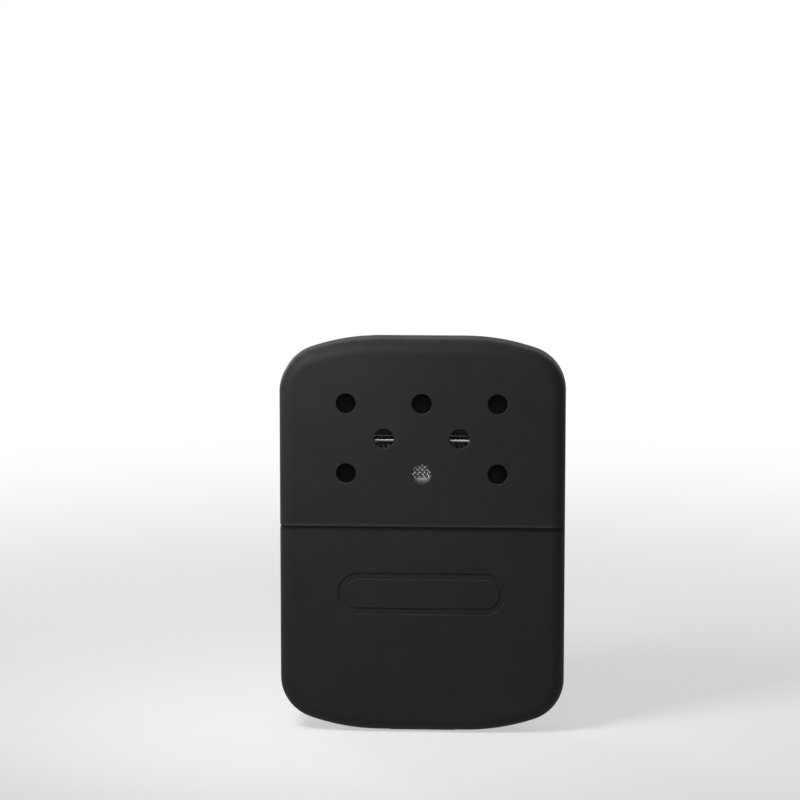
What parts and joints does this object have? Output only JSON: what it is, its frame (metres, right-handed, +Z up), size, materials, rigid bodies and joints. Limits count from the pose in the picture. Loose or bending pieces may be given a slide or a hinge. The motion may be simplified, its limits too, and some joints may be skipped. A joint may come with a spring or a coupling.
{
  "type": "hand warmer",
  "caption": "Slim pocket hand warmer: black metal fuel tank with a pull-off vented lid over a catalytic burner on an oblong throat.",
  "frame": {"origin": "centre of the box's base, on the flat foot under the tank", "axes": "+Z up from the tank to the lid, +X to the right of the front, -Y out of the vented front face"},
  "size_m": [0.068, 0.013, 0.095],
  "materials": {
    "black_coat": "matt black coat on drawn steel",
    "collar_nickel": "satin nickel plate on steel",
    "burner_steel": "bright stainless sheet",
    "gauze_wire": "woven stainless wire",
    "glass_fibre": "grey catalyst-coated glass fibre",
    "cotton": "loose cotton fibre"
  },
  "bodies": {
    "tank": {"tank_shell": "black_coat", "tank_collar": "collar_nickel", "tank_deck": "collar_nickel", "filler_neck": "collar_nickel", "cotton_batting": "cotton", "wick_tuft": "cotton"},
    "burner": {"burner_skirt": "burner_steel", "vapour_plate": "burner_steel", "burner_cage": "burner_steel", "front_gauze": "gauze_wire", "rear_gauze": "gauze_wire", "catalyst_pad": "glass_fibre"},
    "lid": {"lid_shell": "black_coat"}
  },
  "joints": [
    {"name": "lid_pull", "type": "slide", "parent": "tank", "child": "lid", "axis": [0, 0, 1], "range_m": [0, 0.05]},
    {"name": "burner_pull", "type": "slide", "parent": "tank", "child": "burner", "axis": [0, 0, 1], "range_m": [0, 0.02]}
  ]
}
